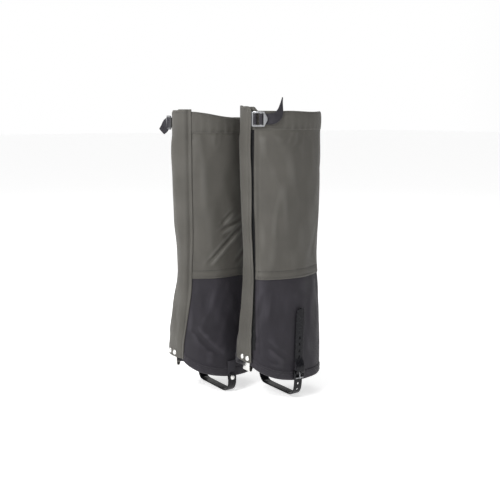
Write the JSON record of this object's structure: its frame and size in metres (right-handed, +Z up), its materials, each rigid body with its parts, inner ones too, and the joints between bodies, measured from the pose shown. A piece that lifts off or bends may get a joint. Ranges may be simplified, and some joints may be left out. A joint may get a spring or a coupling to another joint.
{
  "type": "gaiters",
  "caption": "Pair of knee-high hiking gaiters: two-tone leg tubes with front hook-and-loop flaps, cuff cinch buckles, lace hooks and buckled instep straps.",
  "frame": {"origin": "ground point between the wearer's feet, level with the lowest point of the right instep strap; the left gaiter is worn 6 mm higher", "axes": "+Z up; the toes point to -Y and the wearer's left is +X; the left gaiter stands one short step further back (+Y) than the right one"},
  "size_m": [0.2101, 0.2356, 0.5051],
  "materials": {
    "upper_fabric": "matt olive-grey woven nylon with a light sheen",
    "scuff_fabric": "matt charcoal woven nylon",
    "closure_tape": "black hook-and-loop pile",
    "webbing": "ribbed dark webbing",
    "strap_polymer": "glossy black flexible polymer",
    "black_metal": "satin black",
    "buckle_steel": "satin plated steel",
    "nickel": "bright nickel plate"
  },
  "bodies": {
    "left_shell": {"left_upper_shell": "upper_fabric", "left_lower_shell": "scuff_fabric", "left_hem_band": "scuff_fabric", "left_cuff_casing": "upper_fabric", "left_cinch_strap_rear": "webbing", "left_lateral_tab": "webbing", "left_instep_buckle": "black_metal", "left_instep_strap_end": "strap_polymer", "left_medial_tab": "webbing", "left_medial_rivet": "nickel"},
    "left_panel": {"left_upper_front": "upper_fabric", "left_lower_front": "scuff_fabric", "left_hem_front": "scuff_fabric", "left_cuff_front": "upper_fabric", "left_hook_tape": "closure_tape", "left_cinch_strap_front": "webbing", "left_cinch_anchor": "webbing"},
    "left_flap": {"left_storm_flap": "upper_fabric", "left_loop_tape": "closure_tape", "left_lace_hook": "nickel", "left_hook_rivet_inner": "nickel", "left_hook_rivet_outer": "nickel"},
    "left_cinch": {"left_cinch_buckle": "buckle_steel", "left_cinch_strap_loop": "webbing"},
    "left_cinch_tail": {"left_cinch_tail": "webbing"},
    "left_roller": {"left_instep_roller": "buckle_steel"},
    "left_tongue": {"left_instep_tongue": "buckle_steel"},
    "left_instep": {"left_instep_strap": "strap_polymer"},
    "left_tail": {"left_instep_tail": "strap_polymer"},
    "right_shell": {"right_upper_shell": "upper_fabric", "right_lower_shell": "scuff_fabric", "right_hem_band": "scuff_fabric", "right_cuff_casing": "upper_fabric", "right_cinch_strap_rear": "webbing", "right_lateral_tab": "webbing", "right_instep_buckle": "black_metal", "right_instep_strap_end": "strap_polymer", "right_medial_tab": "webbing", "right_medial_rivet": "nickel"},
    "right_panel": {"right_upper_front": "upper_fabric", "right_lower_front": "scuff_fabric", "right_hem_front": "scuff_fabric", "right_cuff_front": "upper_fabric", "right_hook_tape": "closure_tape", "right_cinch_strap_front": "webbing", "right_cinch_anchor": "webbing"},
    "right_flap": {"right_storm_flap": "upper_fabric", "right_loop_tape": "closure_tape", "right_lace_hook": "nickel", "right_hook_rivet_inner": "nickel", "right_hook_rivet_outer": "nickel"},
    "right_cinch": {"right_cinch_buckle": "buckle_steel", "right_cinch_strap_loop": "webbing"},
    "right_cinch_tail": {"right_cinch_tail": "webbing"},
    "right_roller": {"right_instep_roller": "buckle_steel"},
    "right_tongue": {"right_instep_tongue": "buckle_steel"},
    "right_instep": {"right_instep_strap": "strap_polymer"},
    "right_tail": {"right_instep_tail": "strap_polymer"}
  },
  "joints": [
    {"name": "left_flap_open", "type": "hinge", "parent": "left_shell", "child": "left_flap", "pos_m": [0.0358, -0.0362, 0.281], "axis": [0.0167, -0.0249, -0.9996], "range_deg": [0, 100]},
    {"name": "left_front_panel_open", "type": "hinge", "parent": "left_shell", "child": "left_panel", "pos_m": [0.0943, 0.0232, 0.276], "axis": [0, 0, 1], "range_deg": [0, 20]},
    {"name": "left_cinch_buckle_tilt", "type": "hinge", "parent": "left_panel", "child": "left_cinch", "pos_m": [0.06986, -0.03267, 0.4705], "axis": [0, 0, -1], "range_deg": [0, 22]},
    {"name": "left_cinch_tail_lift", "type": "hinge", "parent": "left_cinch", "child": "left_cinch_tail", "pos_m": [0.08449, -0.01693, 0.4705], "axis": [0, 0, -1], "range_deg": [0, 50]},
    {"name": "left_instep_swing", "type": "hinge", "parent": "left_shell", "child": "left_instep", "pos_m": [0.048, 0.0378, 0.033], "axis": [1, 0, 0], "range_deg": [-30, 30]},
    {"name": "left_instep_tail_peel", "type": "hinge", "parent": "left_shell", "child": "left_tail", "pos_m": [0.1049, 0.0378, 0.05745], "axis": [0, 1, 0], "range_deg": [0, 75]},
    {"name": "left_tongue_lift", "type": "hinge", "parent": "left_shell", "child": "left_tongue", "pos_m": [0.1003, 0.0378, 0.0515], "axis": [0, -1, 0], "range_deg": [0, 30]},
    {"name": "left_roller_spin", "type": "hinge", "parent": "left_shell", "child": "left_roller", "pos_m": [0.1003, 0.0378, 0.0395], "axis": [0, 1, 0], "continuous": true},
    {"name": "right_flap_open", "type": "hinge", "parent": "right_shell", "child": "right_flap", "pos_m": [-0.0358, -0.1078, 0.275], "axis": [0.0167, 0.0249, 0.9996], "range_deg": [0, 100]},
    {"name": "right_front_panel_open", "type": "hinge", "parent": "right_shell", "child": "right_panel", "pos_m": [-0.0943, -0.0484, 0.27], "axis": [0, 0, -1], "range_deg": [0, 20]},
    {"name": "right_cinch_buckle_tilt", "type": "hinge", "parent": "right_panel", "child": "right_cinch", "pos_m": [-0.07187, -0.1065, 0.4645], "axis": [0, 0, 1], "range_deg": [-30, 0]},
    {"name": "right_cinch_tail_lift", "type": "hinge", "parent": "right_cinch", "child": "right_cinch_tail", "pos_m": [-0.09241, -0.10018, 0.4645], "axis": [0, 0, 1], "range_deg": [-20, 30]},
    {"name": "right_instep_swing", "type": "hinge", "parent": "right_shell", "child": "right_instep", "pos_m": [-0.048, -0.0338, 0.027], "axis": [1, 0, 0], "range_deg": [-30, 30]},
    {"name": "right_instep_tail_peel", "type": "hinge", "parent": "right_shell", "child": "right_tail", "pos_m": [-0.1049, -0.0338, 0.05145], "axis": [0, -1, 0], "range_deg": [0, 75]},
    {"name": "right_tongue_lift", "type": "hinge", "parent": "right_shell", "child": "right_tongue", "pos_m": [-0.1003, -0.0338, 0.0455], "axis": [0, 1, 0], "range_deg": [0, 30]},
    {"name": "right_roller_spin", "type": "hinge", "parent": "right_shell", "child": "right_roller", "pos_m": [-0.1003, -0.0338, 0.0335], "axis": [0, 1, 0], "continuous": true},
    {"name": "pair_spacing", "type": "slide", "parent": "left_shell", "child": "right_shell", "axis": [-1, 0, 0], "range_m": [0, 0.12]}
  ],
  "couplings": [
    {"joint": "left_front_panel_open", "follows": "left_flap_open", "ratio": 0.2},
    {"joint": "right_front_panel_open", "follows": "right_flap_open", "ratio": 0.2}
  ]
}
